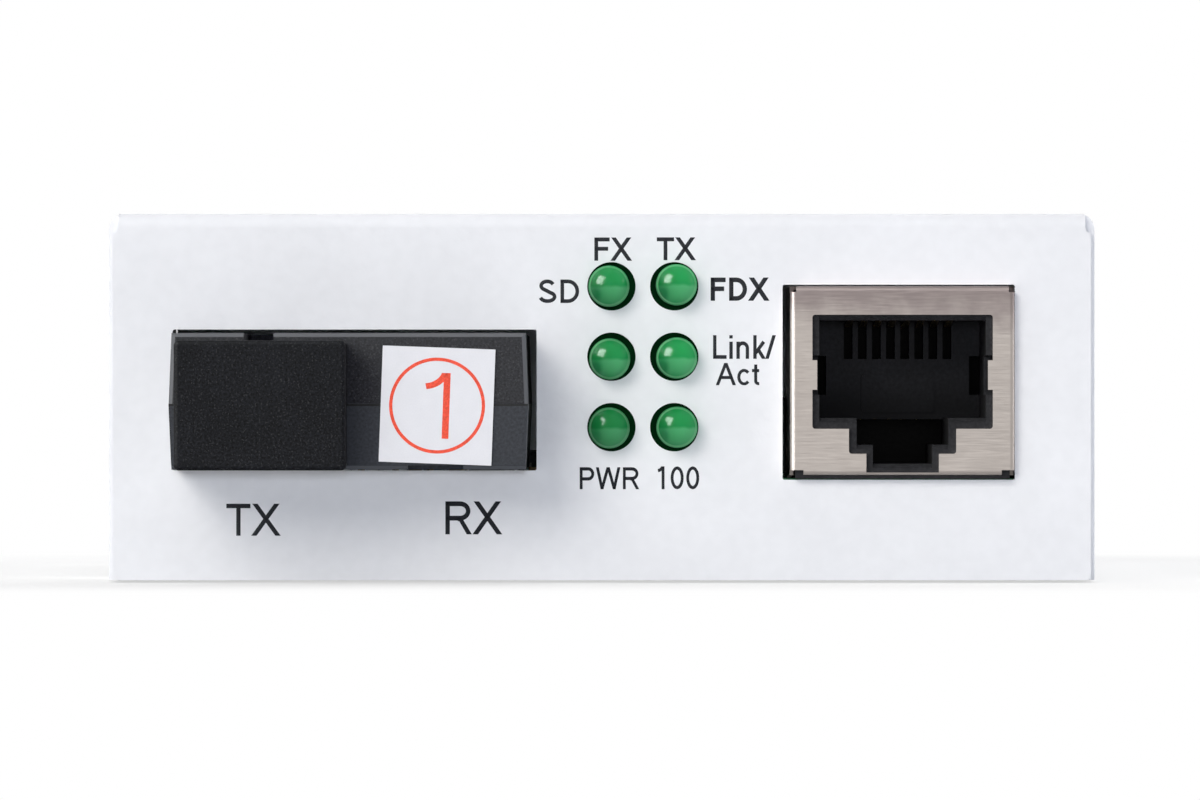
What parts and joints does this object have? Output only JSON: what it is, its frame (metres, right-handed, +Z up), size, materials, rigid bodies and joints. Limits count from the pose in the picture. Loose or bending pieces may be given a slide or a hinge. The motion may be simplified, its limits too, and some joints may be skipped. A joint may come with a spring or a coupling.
{
  "type": "fibre media converter",
  "caption": "Small flat steel-cased converter with a fibre transceiver under a pull-out dust cap, a shielded network jack and green status lamps.",
  "frame": {"origin": "middle of the case's underside, halfway across its width and halfway between its front and rear panels", "axes": "+Z up, +Y towards the rear panel with the power inlet, +X to the right seen from the front; the ports face -Y"},
  "size_m": [0.07, 0.106, 0.026],
  "materials": {
    "case_powder": "fine textured powder coat",
    "screw_nickel": "nickel plated",
    "zinc_steel": "zinc plated",
    "board_green": "solder mask over glass laminate",
    "module_black": "sandblasted moulding",
    "module_grey": "smooth moulding",
    "cap_black": "fine textured moulding",
    "sleeve_ceramic": "polished zirconia",
    "optic_steel": "turned",
    "contact_gold": "gold plated",
    "label_paper": "matt print stock",
    "shield_nickel": "satin rolled sheet",
    "socket_black": "moulded",
    "lens_green": "tinted diffused epoxy",
    "lead_tin": "tinned",
    "inlet_black": "moulded",
    "chip_black": "moulded package",
    "can_aluminium": "drawn",
    "ferrite_grey": "sintered",
    "passive_brown": "sintered"
  },
  "bodies": {
    "converter": {"cover": "case_powder", "base_tray": "case_powder", "cover_screws": "screw_nickel", "board_standoffs": "zinc_steel", "board_screws": "screw_nickel", "main_board": "board_green", "module_upper_shell": "module_black", "module_lower_shell": "module_grey", "module_latch_insert": "module_grey", "fibre_sleeve": "sleeve_ceramic", "optical_subassembly": "optic_steel", "module_board": "board_green", "module_pins": "contact_gold", "module_sticker": "label_paper", "jack_shield": "shield_nickel", "jack_housing": "socket_black", "jack_contact_carrier": "socket_black", "jack_contacts": "contact_gold", "power_inlet_body": "inlet_black", "power_inlet_pin": "screw_nickel", "power_inlet_spring": "screw_nickel", "power_inlet_terminals": "lead_tin", "converter_chip": "chip_black", "converter_chip_legs": "lead_tin", "network_transformer": "chip_black", "network_transformer_legs": "lead_tin", "crystal_can": "can_aluminium", "bulk_capacitors": "can_aluminium", "capacitor_bases": "chip_black", "voltage_regulator": "chip_black", "regulator_legs": "lead_tin", "power_inductor": "ferrite_grey", "inductor_core": "ferrite_grey", "chip_passives": "passive_brown", "passive_terminations": "lead_tin", "lamp_lens_1": "lens_green", "lamp_leads_1": "lead_tin", "lamp_lens_2": "lens_green", "lamp_leads_2": "lead_tin", "lamp_lens_3": "lens_green", "lamp_leads_3": "lead_tin", "lamp_lens_4": "lens_green", "lamp_leads_4": "lead_tin", "lamp_lens_5": "lens_green", "lamp_leads_5": "lead_tin", "lamp_lens_6": "lens_green", "lamp_leads_6": "lead_tin"},
    "cap": {"dust_cap": "cap_black"}
  },
  "joints": [
    {"name": "dust_cap_pull", "type": "slide", "parent": "converter", "child": "cap", "axis": [0, -1, 0], "range_m": [0, 0.03]}
  ]
}
